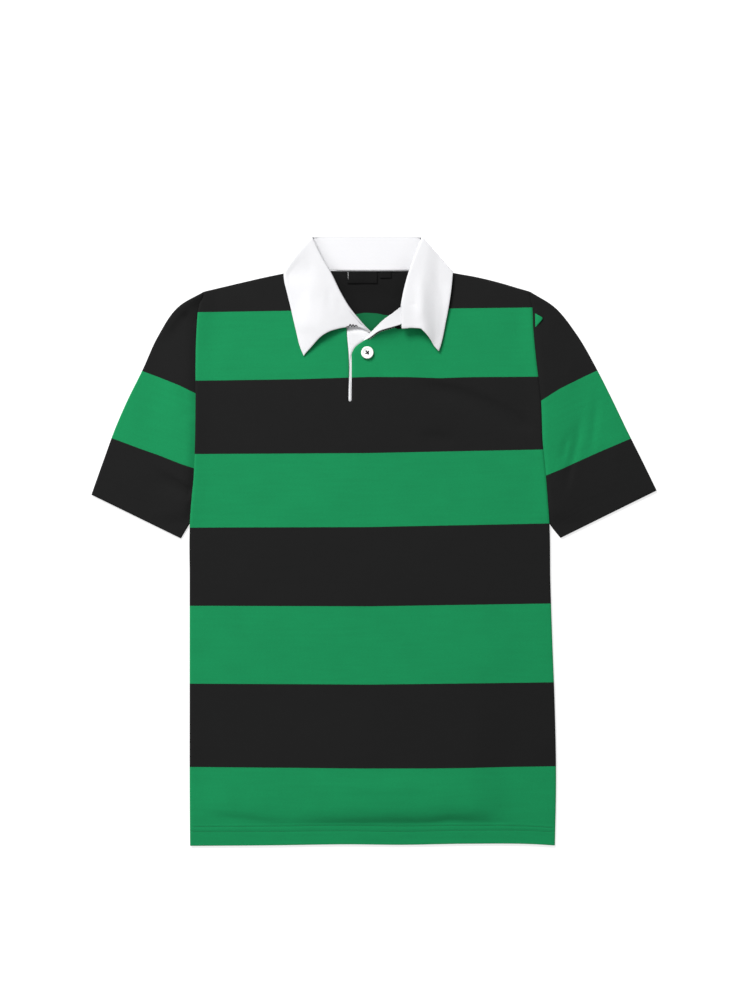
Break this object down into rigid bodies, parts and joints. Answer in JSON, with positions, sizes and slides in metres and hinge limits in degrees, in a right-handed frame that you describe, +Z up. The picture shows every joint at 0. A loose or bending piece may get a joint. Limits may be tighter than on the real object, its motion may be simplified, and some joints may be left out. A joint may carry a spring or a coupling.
{
  "type": "rugby shirt",
  "caption": "Short-sleeved rugby shirt laid flat on its back, with green and black hoops, black sleeves and shoulders, a white turned-down collar and a short buttoned placket",
  "frame": {"origin": "centre of the flat shirt's footprint, on the surface it lies on", "axes": "+Y runs from the hem to the neck, +X towards the wearer's left sleeve, +Z up from the surface, out of the shirt's front"},
  "size_m": [0.7466, 0.8041, 0.0114],
  "materials": {
    "body_jersey": "matt heavy cotton jersey, dyed in green and black hoops",
    "sleeve_jersey": "matt heavy cotton jersey, black with a green band",
    "collar_twill": "matt white cotton twill",
    "woven_tab": "black woven tape",
    "button": "glossy white"
  },
  "bodies": {
    "root": {"front_panel": "body_jersey", "back_panel": "body_jersey", "sleeve_right": "sleeve_jersey", "sleeve_left": "sleeve_jersey", "collar_stand": "collar_twill", "collar_leaf": "collar_twill", "under_placket": "collar_twill", "neck_label": "woven_tab", "size_tab": "woven_tab", "button": "button"}
  },
  "joints": []
}
